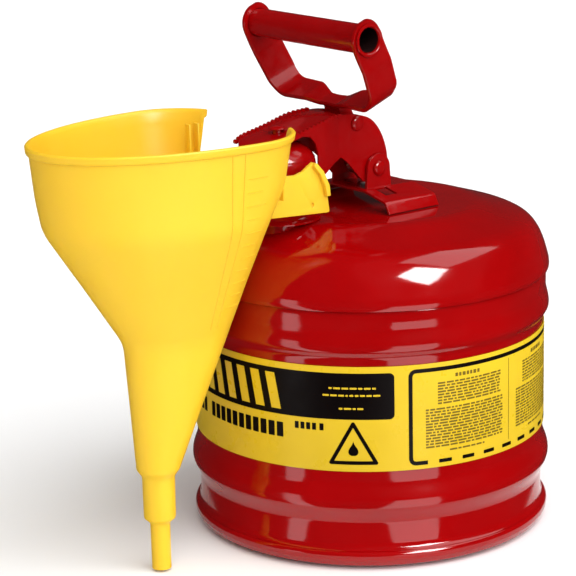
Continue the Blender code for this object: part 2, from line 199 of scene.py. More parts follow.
def bare_steel(name, colour, roughness, grain):
    """Plated or woven steel with a fine directional grain."""
    mat = new_material(name, colour, roughness, Metallic=1.0)
    dull = tuple(0.75 * channel for channel in colour)
    spread(mat, noise(mat, 120, 5), dull, colour, "Base Color")
    spread(mat, noise(mat, 260, 3, (1, 1, 8)), roughness - 0.08, roughness + 0.12, "Roughness")
    bump(mat, (noise(mat, grain, 2, (1, 1, 6)), 0.03))
    return mat


def woven_screen():
    """Fine wire mesh, as crossed waves in the surface."""
    mat = bare_steel("arrester_mesh", (0.40, 0.39, 0.36), 0.45, 500)
    nodes, links = mat.node_tree.nodes, mat.node_tree.links
    waves = []
    for direction in ("X", "Z"):
        wave = nodes.new("ShaderNodeTexWave")
        wave.bands_direction = direction
        wave.inputs["Scale"].default_value = 300
        links.new(nodes.new("ShaderNodeTexCoord").outputs["Object"], wave.inputs["Vector"])
        waves.append((wave.outputs["Fac"], 0.3))
    bump(mat, *waves)
    return mat


def gasket_rubber():
    mat = new_material("black_rubber", (0.02, 0.02, 0.02), 0.7)
    spread(mat, noise(mat, 150, 4), (0.012, 0.012, 0.012), (0.035, 0.034, 0.033), "Base Color")
    bump(mat, (noise(mat, 900, 2), 0.03))
    return mat


SMOOTH_RED = enamel("red_enamel")
ROUGH_RED = enamel("red_enamel_on_pressings", rough=True)
PLASTIC = yellow_plastic()
FILM = print_film("label_yellow", (0.74, 0.50, 0.014), 0.3)
INK = print_film("label_black", (0.004, 0.002, 0.002), 0.35, 0.1)
FINE_INK = print_film("label_fine_print", (0.17, 0.11, 0.006), 0.4)
# Near-black metal for the inside of the grip tube: painted shade for the deep bore, not a finish of its own.
GRIP_BORE_SHADE = bare_steel("grip_bore_painted_shade", (0.05, 0.02, 0.02), 0.6, 700)
ZINC = bare_steel("zinc_plate", (0.62, 0.61, 0.58), 0.33, 900)
SCREEN = woven_screen()
RUBBER = gasket_rubber()


# ---------------------------------------------------------------- outlines

def arc(centre, radius, start, end, steps):
    """Points on an arc, angles in degrees."""
    angles = [math.radians(start + (end - start) * i / steps) for i in range(steps + 1)]
    return [(centre[0] + radius * math.cos(a), centre[1] + radius * math.sin(a)) for a in angles]


def bezier(a, b, c, d, steps=12):
    """Points on a cubic curve, its first point left out so that stretches join up."""
    a, b, c, d = (Vector(p) for p in (a, b, c, d))
    ts = [i / steps for i in range(1, steps + 1)]
    return [tuple(a * (1 - t) ** 3 + b * 3 * t * (1 - t) ** 2 + c * 3 * t * t * (1 - t) + d * t ** 3)
            for t in ts]


def swell(low, high, steps=10):
    """A smooth S between two (radius, height) points, level with the wall at both."""
    points = []
    for i in range(1, steps + 1):
        t = i / steps
        ease = (1 - math.cos(math.pi * t)) / 2
        points.append((low[0] + (high[0] - low[0]) * ease, low[1] + (high[1] - low[1]) * t))
    return points


def curve_through(points, steps=6):
    """A smooth open path through points, by a Catmull-Rom spline."""
    points = [Vector(p) for p in points]
    padded = [2 * points[0] - points[1]] + points + [2 * points[-1] - points[-2]]
    path = [tuple(points[0])]
    for a, b, c, d in zip(padded, padded[1:], padded[2:], padded[3:]):
        for i in range(1, steps + 1):
            t = i / steps
            path.append(tuple(0.5 * (2 * b + (c - a) * t + (2 * a - 5 * b + 4 * c - d) * t * t
                                     + (3 * b - a - 3 * c + d) * t ** 3)))
    return path


def fillet(points, radius, steps=6):
    """The same open path with its inner corners rounded."""
    rounded = [Vector(points[0])]
    for before, corner, after in zip(points, points[1:], points[2:]):
        corner = Vector(corner)
        to_before, to_after = Vector(before) - corner, Vector(after) - corner
        half = to_before.angle(to_after) / 2
        reach = min(radius / math.tan(half), 0.45 * to_before.length, 0.45 * to_after.length)
        start = corner + to_before.normalized() * reach
        end = corner + to_after.normalized() * reach
        for i in range(steps + 1):
            t = i / steps
            rounded.append(start * (1 - t) ** 2 + corner * (2 * t * (1 - t)) + end * t ** 2)
    rounded.append(Vector(points[-1]))
    return [tuple(p) for p in rounded]


def offset_path(points, distance):
    """The open path moved sideways, to its left for a positive distance."""
    points = [Vector(p) for p in points]
    moved = []
    for i, point in enumerate(points):
        before, after = points[max(i - 1, 0)], points[min(i + 1, len(points) - 1)]
        first = (point - before if i else after - point).normalized()
        second = (after - point if i < len(points) - 1 else point - before).normalized()
        normal = (Vector((-first.y, first.x)) + Vector((-second.y, second.x))).normalized()
        stretch = max(normal.dot(Vector((-first.y, first.x))), 0.5)
        moved.append(tuple(point + normal * (distance / stretch)))
    return moved


def ease(t):
    t = min(max(t, 0.0), 1.0)
    return t * t * (3 - 2 * t)


# ---------------------------------------------------------------- meshes

def lofted(rings, closed=False):
    """Equal rings of points joined side to side, with capped ends unless they close on themselves."""
    bm = bmesh.new()
    rows = [[bm.verts.new(p) for p in ring] for ring in rings]
    pairs = list(zip(rows, rows[1:])) + ([(rows[-1], rows[0])] if closed else [])
    for lower, upper in pairs:
        for i in range(len(lower)):
            j = (i + 1) % len(lower)
            bm.faces.new((lower[i], lower[j], upper[j], upper[i]))
    if not closed:
        bm.faces.new(rows[0])
        bm.faces.new(rows[-1])
    return bm


def prism(outline, low, high, along="X"):
    """An outline pulled along X as (y, z), along Y as (x, z) or along Z as (x, y)."""
    index = "XYZ".index(along)
    rings = [[list(point) for point in outline] for _ in range(2)]
    for ring, level in zip(rings, (low, high)):
        for point in ring:
            point.insert(index, level)
    return lofted(rings)


def cylinder(radius, low, high, along="X", centre=(0.0, 0.0), sides=64):
    return prism(arc(centre, radius, 0, 360 - 360 / sides, sides - 1), low, high, along)


def turned(profile, closed=True, segments=128, centre_y=0.0, turn=360.0, start=0.0):
    """A profile of (radius, height) points spun about a vertical axis."""
    bm = bmesh.new()
    spin = Matrix.Rotation(math.radians(start), 3, "Z")
    verts = [bm.verts.new(spin @ Vector((r, 0.0, z))) for r, z in profile]
    edges = [bm.edges.new(pair) for pair in zip(verts, verts[1:])]
    if closed:
        edges.append(bm.edges.new((verts[-1], verts[0])))
    swept = verts + edges
    if turn < 360.0:
        swept.append(bm.faces.new(verts))
    bmesh.ops.spin(bm, geom=swept, cent=(0, 0, 0), axis=(0, 0, 1), angle=math.radians(turn), steps=segments)
    bmesh.ops.remove_doubles(bm, verts=bm.verts, dist=1e-3)
    bmesh.ops.translate(bm, verts=bm.verts, vec=(0, centre_y, 0))
    return bm


def tube(path, radius, sides=16):
    """A round wire along a path of 3-D points, with closed ends."""
    path = [Vector(p) for p in path]
    side = (path[1] - path[0]).orthogonal().normalized()
    rings = []
    for i, point in enumerate(path):
        along = (path[min(i + 1, len(path) - 1)] - path[max(i - 1, 0)]).normalized()
        side = (side - along * side.dot(along)).normalized()
        up = along.cross(side)
        angles = [math.tau * k / sides for k in range(sides)]
        rings.append([point + radius * (math.cos(a) * side + math.sin(a) * up) for a in angles])
    return lofted(rings)


def as_object(name, bm):
    bmesh.ops.recalc_face_normals(bm, faces=bm.faces)
    mesh = bpy.data.meshes.new(name)
    bm.to_mesh(mesh)
    bm.free()
    obj = bpy.data.objects.new(name, mesh)
    bpy.context.collection.objects.link(obj)
    return obj


def evaluated(obj):
    """The object's mesh with its modifiers worked in, as a bmesh, with the object gone."""
    bpy.context.view_layer.update()
    graph = bpy.context.evaluated_depsgraph_get()
    bm = bmesh.new()
    bm.from_object(obj, graph)
    bpy.data.objects.remove(obj)
    return bm


def combined(bm, *steps):
    """Boolean steps of (operation, other solid), worked one after the other."""
    for operation, other in steps:
        obj, tool = as_object("shape", bm), as_object("tool", other)
        modifier = obj.modifiers.new("step", "BOOLEAN")
        modifier.operation = operation
        modifier.solver = "EXACT"
        modifier.object = tool
        bm = evaluated(obj)
        bpy.data.objects.remove(tool)
    return bm


def bevelled(bm, width, segments=3):
    """Every edge sharper than 35 degrees rounded."""
    bmesh.ops.remove_doubles(bm, verts=bm.verts, dist=1e-4)
    bmesh.ops.dissolve_limit(bm, angle_limit=math.radians(0.5), verts=bm.verts, edges=bm.edges)
    obj = as_object("shape", bm)
    modifier = obj.modifiers.new("edges", "BEVEL")
    modifier.width = width
    modifier.segments = segments
    modifier.limit_method = "ANGLE"
    modifier.angle_limit = math.radians(35)
    return evaluated(obj)


def merged(*parts):
    """Several solids in one mesh."""
    whole = bmesh.new()
    for part in parts:
        mesh = bpy.data.meshes.new("part")
        part.to_mesh(mesh)
        part.free()
        whole.from_mesh(mesh)
        bpy.data.meshes.remove(mesh)
    return whole


def piece(name, bm, mat, body, slot, *nodes, blend=None):
    """A finished piece in the shared frame that rides on a body, or stays fixed where it is when blend is
    given, and stands for CAD nodes.
    """
    bmesh.ops.translate(bm, verts=bm.verts, vec=(0, CAN_Y, 0))
    bmesh.ops.scale(bm, verts=bm.verts, vec=(MM, MM, MM))
    obj = as_object(name, bm)
    obj.data.shade_smooth()
    obj.data.set_sharp_from_angle(angle=math.radians(38))
    obj.data.materials.append(mat)
    if blend:
        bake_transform(obj)
    else:
        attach(obj, body)
    if nodes:
        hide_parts(*nodes)
    return obj


# ---------------------------------------------------------------- can body

def can_body():
    """Bottom pan, side wall with two beads and domed top, as fine turned sheets."""
    foot, bore = WALL_LOW - 0.3, 114.4
    chime = fillet([(104.5, 8.3), (107.5, 0), (111, 0), (118, 3.6), (119.9, 7.5), (119.9, 10.8),
                    (118.4, foot), (bore, foot)], 2.6)
    pan = [(0, 8.3), (100, 8.3)] + chime + [(bore, 18), (bore - 0.8, 18), (bore - 0.8, 9.5), (0, 9.5)]
    piece("bottom_pan_sheet", turned(pan, closed=False, segments=160), SMOOTH_RED, "can", "red_paint",
          "bottom_pan")

    outer = [(118.3, WALL_LOW - 0.2), (117.3, WALL_LOW + 0.5), (116.3, WALL_LOW + 2), (115.8, WALL_LOW + 5),
             (115.7, 30)]
    outer += swell((115.7, 30), (CAN_RADIUS, 45.5)) + swell((CAN_RADIUS, 45.5), (116.9, 61))
    outer += [(116.9, 139)]
    outer += swell((116.9, 139), (CAN_RADIUS, 147.5)) + swell((CAN_RADIUS, 147.5), (118.5, 161))
    outer += [(118.6, SEAM - 0.9), (118.3, SEAM - 0.3), (117, SEAM - 0.3), (117, SEAM + 8)]
    wall = outer + offset_path(outer, 1.0)[::-1]
    piece("side_wall_sheet", turned(wall, segments=160), SMOOTH_RED, "can", "red_paint", "side_wall")

    outer = [(119.4, SEAM), (120.0, SEAM + 0.3), (120.5, SEAM + 1.4), (CAN_RADIUS, SEAM + 3.2)]
    outer += curve_through([(CAN_RADIUS, SEAM + 3.2), (120.2, 178), (119.0, 182.4), (117.0, 189),
                            (113.7, 196.2), (109.1, 202), (103.5, 205.4), (96, 208), (86, 211)], 6)[1:]
    outer += bezier((86, 211), (77, 213.9), (73, DECK), (66, DECK), 8)
    inner = offset_path(outer, 1.0)
    profile = [(0, DECK)] + outer[::-1] + inner + [(0, DECK - 1)]
    dome = combined(turned(profile, closed=False, segments=160),
                    ("DIFFERENCE", cylinder(20.3, 200, 230, "Z", (0, SPOUT_Y))))
    piece("dome_sheet", dome, SMOOTH_RED, "can", "red_paint", "dome_top")


def spout():
    """Spout neck with a soft foot and a rolled rim."""
    foot = DECK + 0.3
    outer = [(27, foot), (27, foot + 0.8), (26.4, foot + 1.3), (23.6, foot + 2.0), (22.2, foot + 3.2),
             (21.5, foot + 5.5), (21.5, SPOUT_TOP - 4.6)]
    rim = arc((21.1, SPOUT_TOP - 1.7), 1.7, -60, 170, 12)
    profile = [(SPOUT_BORE, 208), (19.9, 208), (19.9, foot)] + outer + rim + [(SPOUT_BORE, SPOUT_TOP - 3)]
    piece("spout_sheet", turned(profile, segments=96, centre_y=SPOUT_Y), SMOOTH_RED, "can", "red_paint",
          "spout_neck")


# ---------------------------------------------------------------- label

def on_label(s, z, lift):
    """A point at a distance round the can from +X and a height, lifted off the label's film."""
    angle = s / LABEL_RADIUS
    return (LABEL_RADIUS + lift) * math.cos(angle), (LABEL_RADIUS + lift) * math.sin(angle), z


def along(degrees):
    """The distance round the label at an angle from +X."""
    return math.radians(degrees) * LABEL_RADIUS


def strip(first, second, lift):
    """Ink between two equal paths of (s, z) points, as a very thin closed solid."""
    rings = []
    for a, b in zip(first, second):
        rings.append([on_label(*a, lift), on_label(*b, lift), on_label(*b, lift + 0.05),
                      on_label(*a, lift + 0.05)])
    return lofted(rings)


def line(path, width, lift=0.04):
    """A stroke along a path, in steps short enough to follow the film round."""
    short = [Vector(path[0])]
    for start, end in zip(path, path[1:]):
        start, end = Vector(start), Vector(end)
        count = max(1, math.ceil((end - start).length / 2))
        short += [start.lerp(end, i / count) for i in range(1, count + 1)]
    path = [tuple(p) for p in short]
    return strip(offset_path(path, width / 2), offset_path(path, -width / 2), lift)


def block(left, right, low, high, corner=0.4, lift=0.04):
    """A block of ink between two angles and two heights, with round corners."""
    s0, s1 = along(left), along(right)
    ends = [(corner * (1 - math.cos(math.radians(a))), corner * (1 - math.sin(math.radians(a))))
            for a in range(0, 91, 18)]
    middle = max(2, int((s1 - s0 - 2 * corner) / 4))
    columns = [(s0 + ds, dz) for ds, dz in ends]
    columns += [(s0 + corner + (s1 - s0 - 2 * corner) * i / middle, 0) for i in range(1, middle)]
    columns += [(s1 - ds, dz) for ds, dz in reversed(ends)]
    return strip([(s, low + dz) for s, dz in columns], [(s, high - dz) for s, dz in columns], lift)


WORD_LENGTHS = random.Random(4)


def words(left, right, high, low, pitch, height, longest=3.0, lift=0.04):
    """Rows of plain bars in place of wording, broken into lengths as words are."""
    bars, z = [], high
    while z > low:
        at = left
        while at < right - 0.6:
            end = min(at + WORD_LENGTHS.uniform(0.7, longest), right)
            bars.append(block(at, end, z - height, z, 0.25, lift))
            at = end + 0.45
        z -= pitch
    return bars


PRINT_LOW, PRINT_HIGH = LABEL_LOW + 4, LABEL_HIGH - 4.2     # lower and upper border of the print


def bars():
    """A black panel, and under it two groups of upright bars."""
    ink = [block(-150, -32.3, 101, PRINT_HIGH, 3.2)]
    for i in range(20):
        if i != 8:                # a wider space there, as between two words
            left = -129 + 3.1 * i
            ink.append(block(left, left + 2.3, 86, 95.8, 0.5))
    for left in (-63.7, -61.8, -59.9, -58.0, -55.6):
        ink.append(block(left, left + 1.3, 93.2, 97.8, 0.3))
    return ink


def symbol():
    """A triangle with round corners, and a plain drop in it."""
    apex, base, half = (along(-45.1), 98.2), 72.4, along(7.0)
    corners = [apex, (apex[0] + half, base), (apex[0] - half, base)]
    dot = ((-1.2, 0.4), (-0.8, 0.9), (0, 1.2), (0.8, 0.9), (1.2, 0.4))
    ink = []
    for start, end in zip(corners, corners[1:] + corners[:1]):
        ink.append(line([start, end], 2.4))
        ink.append(strip([(start[0] + x, start[1] - w) for x, w in dot],
                         [(start[0] + x, start[1] + w) for x, w in dot], 0.05))
    drop = [(0.15, 0.1), (1.6, 0.55), (3.0, 1.4), (4.4, 2.4), (5.9, 3.1), (7.3, 3.2), (8.6, 2.6), (9.4, 1.2)]
    drop_top = 86.5
    ink.append(strip([(apex[0] - w, drop_top - z) for z, w in drop],
                     [(apex[0] + w, drop_top - z) for z, w in drop], 0.04))
    return ink


def borders():
    """A heavy line over each field of small print and down beside it, with dashes under it."""
    ink = []
    for first, inward, last, dash in ((-27.3, 5.4, 81, -16), (207, -5.4, 99, 106)):
        corner = [(along(first + inward), PRINT_LOW), (along(first), PRINT_LOW), (along(first), PRINT_HIGH),
                  (along(last), PRINT_HIGH)]
        ink.append(line(fillet(corner, 4), 2.6))
        for i in range(12):
            middle = dash + 8.2 * i
            ink.append(block(middle - 2.2, middle + 2.2, PRINT_LOW - 1.2, PRINT_LOW + 1.2, 0.5))
    return ink


def small_print():
    """Three columns of plain bars in each field, with a thin line between columns."""
    pitch, height = 1.9, 1.1
    ink = []
    for field in ((-22.5, 13.5, 50), (102, 138, 174)):
        for left in field:
            right = left + 29
            middle = (left + right) / 2
            ink += words(middle - 4.5, middle + 4.5, 127.2, 126.5, 3, 2.4, 1.6)
            ink += words(left + 4, right - 1, 122.5, 108, pitch, height)
            ink += words(left, right, 105.6, 79.5, pitch, height)
            ink += words(left + 8, right - 8, 77.6, 76, pitch, height)
            if left != field[-1]:
                ink.append(block(right + 2.9, right + 3.1, PRINT_LOW + 3, PRINT_HIGH - 3, 0.05))
    return ink


def marks_on_black():
    """Slanted stripes and three short rows, in the film's yellow over the black panel."""
    marks = []
    for a in range(-146, -68, 6):
        slant = [(along(a + 2.2 * (1 - t)), 104.5 + 23.5 * t) for t in (0, 0.25, 0.5, 0.75, 1)]
        marks.append(strip(slant, [(s + along(3.4), z) for s, z in slant], 0.2))
    for left, right, z in ((-52.5, -38.0, 121.5), (-54.4, -36.2, 116.8), (-49.4, -41.9, 108.2)):
        marks += words(left, right, z + 0.6, z + 0.5, 2, 1.2, 2.3, 0.14)
    return marks


def label():
    """Yellow film round the can with generic black shapes in place of its wording."""
    half_gap = 7.5                # degrees of bare wall to each side of the band's ends, at the back
    film = fillet([(LABEL_RADIUS - 0.4, LABEL_LOW), (LABEL_RADIUS, LABEL_LOW),
                   (LABEL_RADIUS, LABEL_HIGH), (LABEL_RADIUS - 0.4, LABEL_HIGH)], 0.15, 2)
    piece("label_film", turned(film, segments=160, turn=360 - 2 * half_gap, start=90 + half_gap), FILM, "can",
          "label_print", "label_band")
    piece("label_ink", merged(*bars(), *symbol(), *borders()), INK, "can", "label_print")
    piece("label_small_print", merged(*small_print()), FINE_INK, "can", "label_print")
    piece("label_marks", merged(*marks_on_black()), FILM, "can", "label_print")


# ---------------------------------------------------------------- hinge

def bracket():
    """Hat-shaped plate with the slots that its two ears were bent up from."""
    low, rise = DECK + 0.3, 12.5
    half = [(20, low + rise - SHEET), (40.5, low + 6.5), (44, low)]
    under = fillet([(-x, z) for x, z in reversed(half)] + half, 2, 4)
    plate = prism(offset_path(under, SHEET) + under[::-1], -19, 23.5, "Y")
    y = LEVER_AXIS[0]
    ear = arc(LEVER_AXIS, 9.5, 0, 180, 24) + [(y - 10.5, low + rise - 1), (y + 10.5, low + rise - 1)]
    steps = []
    for inner in (16.0, -16.0 - 2.2):
        steps.append(("UNION", prism(ear, inner, inner + 2.2)))
    for side in (1, -1):
        slot = [(19.6 * side, y - 6), (32 * side, y - 6), (32 * side, y + 4), (19.6 * side, y + 4)]
        steps.append(("DIFFERENCE", prism(slot, low + 2, low + rise + 3, "Z")))
    steps.append(("DIFFERENCE", cylinder(PIN_HOLE, -25, 25, "X", LEVER_AXIS, 40)))
    piece("hinge_plate", bevelled(combined(plate, *steps), 0.45), ROUGH_RED, "can", "red_paint",
          "hinge_bracket")


def pin(name, axis, node, body):
    """Round pin along X, with low domed rivet heads, painted over with its neighbours."""
    half = extent(node)[1].x - 2
    side = [(0, half + 2)] + [(3.0 * t, half + 2 - 0.25 * t * t) for t in (0.4, 0.7, 1)]
    side += [(4.2, half + 1.2), (4.9, half + 0.6), (5, half + 0.15), (4.9, half), (3, half)]
    bm = turned(side + [(r, -x) for r, x in reversed(side)], closed=False, segments=48)
    bmesh.ops.rotate(bm, verts=bm.verts, matrix=Matrix.Rotation(math.pi / 2, 3, "Y"))
    bmesh.ops.translate(bm, verts=bm.verts, vec=(0, *axis))
    piece(name, bm, ROUGH_RED, body, "red_paint", node)


def torsion_spring():
    """Spring wound round the lever's pin, from the bracket to the inside of the lever."""
    y, z = LEVER_AXIS
    radius, turns, pitch, steps = 6.0, 5.25, 2.6, 32
    left = -turns * pitch / 2
    path = [(left, y + 9, DECK + 14.2), (left, y + 6.5, DECK + 14.3), (left, y + 4, DECK + 14.6)]
    for i in range(int(turns * steps) + 1):
        angle = math.radians(270) - math.tau * i / steps
        path.append((left + pitch * i / steps, y + radius * math.cos(angle), z + radius * math.sin(angle)))
    path += [(-left, y - radius - 0.5 * t, z + 20 * t) for t in (0.3, 0.6, 1)]
    piece("lever_torsion_spring", tube(path, 1.0), ZINC, "lever", "zinc_steel", "lever_spring",
          blend=((left, y, z), (-left, y, z)))


# ---------------------------------------------------------------- lid lever and cap

def lever_outline():
    """Outer line of the lever from its front tip over the crown and down behind the pin."""
    return curve_through([(-98.5, 260), (-98, 264), (-94.5, 267), (-88, 268.8), (-70, 272.7), (-48, 278.4),
                          (-34, 279.6), (-20, 278), (-9, 274), (-1.5, 266), (3.5, 255), (5.2, 244),
                          (3.5, 235)], 5)


def lever_plan(inset=0.0):
    """The lever seen from above, as a closed outline."""
    right = fillet([(9, -98), (15, -94), (19, -85), (19, -50), (15.5, -36), (15.5, 8)], 8)
    if inset:
        right = offset_path(right, inset)
        right[0] = (right[0][0], -98 + inset)
    return right + [(-x, y) for x, y in reversed(right)]


def lever():
    """Pressed channel that holds the cap, with an arched side and a rolled, toothed upper edge."""
    low = fillet([(-9, 233), (-15.5, 233), (-20, 238), (-28, 247), (-34, 252), (-42, 248.5), (-50.8, 243.2),
                  (-55.3, 246), (-55.6, 257), (-57.5, 264.5), (-62, 269.5), (-68, 270.6), (-76, 268.6),
                  (-90, 264.5), (-96, 261)], 2.5)
    outline = lever_outline()
    inner = offset_path(outline, -SHEET)
    core = combined(prism(inner + [(inner[-1][0], 220), (inner[0][0], 220)], -29, 29),
                    ("INTERSECT", prism(lever_plan(SHEET), 215, 300, "Z")))
    body = combined(prism(outline + low, -30, 30),
                    ("INTERSECT", prism(lever_plan(), 220, 295, "Z")),
                    ("DIFFERENCE", core),
                    ("DIFFERENCE", cylinder(PIN_HOLE, -20, 20, "X", LEVER_AXIS, 40)),
                    ("DIFFERENCE", cylinder(PIN_HOLE, -20, 20, "X", HANDLE_AXIS, 40)),
                    ("DIFFERENCE", cylinder(PIN_HOLE, 265, 285, "Z", (0, SPOUT_Y), 40)),
                    ("DIFFERENCE", prism([(-32.5, 271), (-7, 267), (-7, 285), (-32.5, 285)], -9.5, 9.5)))
    teeth = [bevelled(body, 0.5)]
    for i in range(19):
        y = -95 + 3.3 * i
        half = 15.2 + 3.4 * ease((y + 97) / 12) - 2.2 * ease((y + 52) / 14)
        z = next(z0 + (z1 - z0) * (y - y0) / (y1 - y0) for (y0, z0), (y1, z1) in zip(outline, outline[1:])
                 if y0 <= y <= y1 and z0 > 262)
        for side in (1, -1):
            tooth = [(y + dy, z - 0.5 + dz) for dy, dz in arc((0, 0), 1.5, 0, 330, 11)]
            teeth.append(prism(tooth, side * half - 1.8, side * half + 0.2))
    piece("lid_lever_channel", merged(*teeth), ROUGH_RED, "lever", "red_paint", "lid_lever")


def cap():
    """Domed cap with its gasket, retainer, stud and spring."""
    bore = 3.3
    seat = SPOUT_TOP + 0.3
    outer = [(bore, CAP_TOP)] + bezier((bore, CAP_TOP), (14, CAP_TOP), (CAP_RADIUS - 1.2, CAP_TOP - 4),
                                       (CAP_RADIUS - 0.4, CAP_LOW + 6), 18)
    outer += [(CAP_RADIUS, CAP_LOW + 1), (CAP_RADIUS, CAP_LOW + 0.3), (CAP_RADIUS - 0.4, CAP_LOW)]
    shell = outer + [(CAP_RADIUS - 1.1, CAP_LOW), (CAP_RADIUS - 1.1, seat + 3.6), (bore, seat + 3.6)]
    gasket = fillet([(bore, seat), (23.5, seat), (23.5, seat + 3.3), (bore, seat + 3.3)], 0.5, 3)
    low = extent("gasket_retainer")[0].z
    plate = fillet([(bore, low), (14, low), (14, low + 1.2), (bore, low + 1.2)], 0.4, 3)
    head = low - 0.3
    rivet = extent("cap_stud")[1].z - 2.2
    stud = [(0, head - 1.8), (3, head - 1.6), (4.8, head - 0.9), (5.5, head), (3, head), (3, rivet),
            (5.3, rivet), (5.5, rivet + 0.3), (4.8, rivet + 1.2), (3.2, rivet + 1.9), (0, rivet + 2.2)]
    for name, profile, mat, slot, node in (
            ("cap_dome", shell, ROUGH_RED, "red_paint", "cap_shell"),
            ("cap_seal", gasket, RUBBER, "gasket_rubber", "cap_gasket"),
            ("seal_retainer", plate, ZINC, "zinc_steel", "gasket_retainer"),
            ("cap_rivet", stud, ROUGH_RED, "red_paint", "cap_stud")):
        bm = turned(profile, closed=node != "cap_stud", segments=80, centre_y=SPOUT_Y)
        piece(name, bm, mat, "cap", slot, node)

    turn = [(5 * math.cos(math.tau * i / 48), SPOUT_Y + 5 * math.sin(math.tau * i / 48), 267.4 + i / 48)
            for i in range(48)]
    washer = piece("cap_spring_washer", tube(turn, 0.6), ZINC, "lever", "zinc_steel", "cap_spring")
    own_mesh(washer)


# ---------------------------------------------------------------- handle

def in_handle(bm):
    """Carry a shape drawn upright above the handle's axis to the handle's leaning rest place."""
    bmesh.ops.rotate(bm, verts=bm.verts, matrix=Matrix.Rotation(HANDLE_LEAN, 3, "X"))
    bmesh.ops.translate(bm, verts=bm.verts, vec=(0, *HANDLE_AXIS))
    return bm


def strap_edges(x, w):
    """Front and rear edges of the strap at a place across and up it."""
    if w > GRIP_HEIGHT:
        rise = min((w - GRIP_HEIGHT) / STRAP_FRONT, 0.98)
        round_off = math.sqrt(1 - rise * rise)
        return -STRAP_FRONT * round_off, 3.0 + 8.4 * round_off
    swelling = ease((GRIP_HEIGHT - w) / 34)
    front, rear = -STRAP_FRONT + 2.4 * swelling, 11.4 + 2.0 * swelling - 1.8 * ease((30 - w) / 10)
    middle = 1 - ease((abs(x) - 3) / 24)
    return front + (-6.2 - front) * middle, rear + (5.2 - rear) * middle


def handle():
    """Strap with two upright arms and a dip in the middle, and the tube grip flared over both arms."""
    strap, mid = 3.0, 15.0
    arm, top = ARM_X - strap / 2, GRIP_HEIGHT + 12.4
    round_end = [math.radians(a) for a in (79, 70, 60, 50, 40, 30, 20, 10, 0)]
    arms = [(arm, GRIP_HEIGHT + STRAP_FRONT * math.sin(a)) for a in round_end]
    arms += [(arm, GRIP_HEIGHT - 2.5 * i) for i in range(1, 7)]
    bend = fillet([(arm, top), (arm, 47), (52, 27), (44, 18.5), (20, 18.5), (9, mid), (0, mid)], 12, 8)[1:]
    half = arms + curve_through(bend, 1)
    path = half + [(-x, w) for x, w in reversed(half[:-1])]
    outside, inside = offset_path(path, strap / 2), offset_path(path, -strap / 2)
    rings = []
    for (x, w), (ox, ow), (ix, iw) in zip(path, outside, inside):
        front, rear = strap_edges(x, w)
        ring = []
        for t, edge in ((0.0, 0.5), (0.2, 0.12), (0.5, 0.0), (0.8, 0.12), (1.0, 0.5)):
            ring.append((ix + (ox - ix) * t, rear - edge, iw + (ow - iw) * t))
        for t, edge in ((1.0, 0.5), (0.8, 0.12), (0.5, 0.0), (0.2, 0.12), (0.0, 0.5)):
            ring.append((ix + (ox - ix) * t, front + edge, iw + (ow - iw) * t))
        rings.append(ring)
    bail = combined(lofted(rings),
                    ("DIFFERENCE", cylinder(GRIP_RADIUS + 0.3, -70, 70, "X", (0, GRIP_HEIGHT))))
    piece("handle_strap", in_handle(bail), ROUGH_RED, "handle", "red_paint", "handle_bail")

    bore = GRIP_RADIUS - 1.5
    flare = [(GRIP_RADIUS, GRIP_END - 4), (GRIP_RADIUS, GRIP_END - 0.6), (GRIP_RADIUS + 0.9, GRIP_END - 0.5),
             (GRIP_RADIUS + 1.3, GRIP_END), (GRIP_RADIUS + 1.0, GRIP_END + 0.5),
             (GRIP_RADIUS, GRIP_END + 0.7), (bore + 0.7, GRIP_END + 0.3), (bore, GRIP_END - 1)]
    profile = flare + [(r, -x) for r, x in reversed(flare)]
    bm = turned(profile, segments=80)
    bmesh.ops.rotate(bm, verts=bm.verts, matrix=Matrix.Rotation(math.pi / 2, 3, "Y"))
    bmesh.ops.translate(bm, verts=bm.verts, vec=(0, 0, GRIP_HEIGHT))
    tube_piece = piece("grip_tube", in_handle(bm), ROUGH_RED, "handle", "red_paint", "handle_grip")
    # Faces inside the bore get the near-black second material: painted shade for the tube's deep inside.
    tube_piece.data.materials.append(GRIP_BORE_SHADE)
    for face in tube_piece.data.polygons:
        across = face.center / MM - Vector((0, CAN_Y, 0)) - Vector((0, *HANDLE_AXIS))
        across = Matrix.Rotation(-HANDLE_LEAN, 3, "X") @ across - Vector((0, 0, GRIP_HEIGHT))
        if math.hypot(across.y, across.z) < bore + 0.1:
            face.material_index = 1

    side = [(4.2, 13.2), (-4.2, 13.2)] + arc((0, 0), 6, 150, 390, 32)
    knuckle = combined(prism(side, -8, 8), ("DIFFERENCE", cylinder(PIN_HOLE, -12, 12, sides=40)))
    piece("knuckle_block", in_handle(bevelled(knuckle, 0.6)), ROUGH_RED, "handle", "red_paint",
          "handle_knuckle")


# ---------------------------------------------------------------- funnel

# Height, half width, front, where it is widest, and the radius of its rear corners
FUNNEL_LEVELS = [(TIP, 6.2, OUTLET_Y - 6.2, OUTLET_Y, 6.2), (33, 6.4, OUTLET_Y - 6.4, OUTLET_Y, 6.4),
                 (36, 10.3, OUTLET_Y - 10.3, OUTLET_Y, 10.3), (64, 10.5, OUTLET_Y - 10.5, OUTLET_Y, 10.5),
                 (69, 14, OUTLET_Y - 14, OUTLET_Y, 14), (153, 26, -195.5, -149, 25),
                 (190, 43, -219.5, -147, 28), (230, 62, -246, -144, 31), (250, 65, -250, -137, 36),
                 (RIM, 70, FUNNEL_FRONT, -135.5, 40)]


def funnel_level(z, soften):
    """The funnel's plan at a height, with the creases between its stretches softened."""
    samples = []
    for k in range(-3, 4):
        height = min(max(z + soften * k / 3, TIP), RIM)
        pairs = zip(FUNNEL_LEVELS, FUNNEL_LEVELS[1:])
        low, high = next(pair for pair in pairs if height <= pair[1][0])
        t = (height - low[0]) / (high[0] - low[0])
        samples.append([a + (b - a) * t for a, b in zip(low[1:], high[1:])])
    return [sum(column) / len(samples) for column in zip(*samples)]


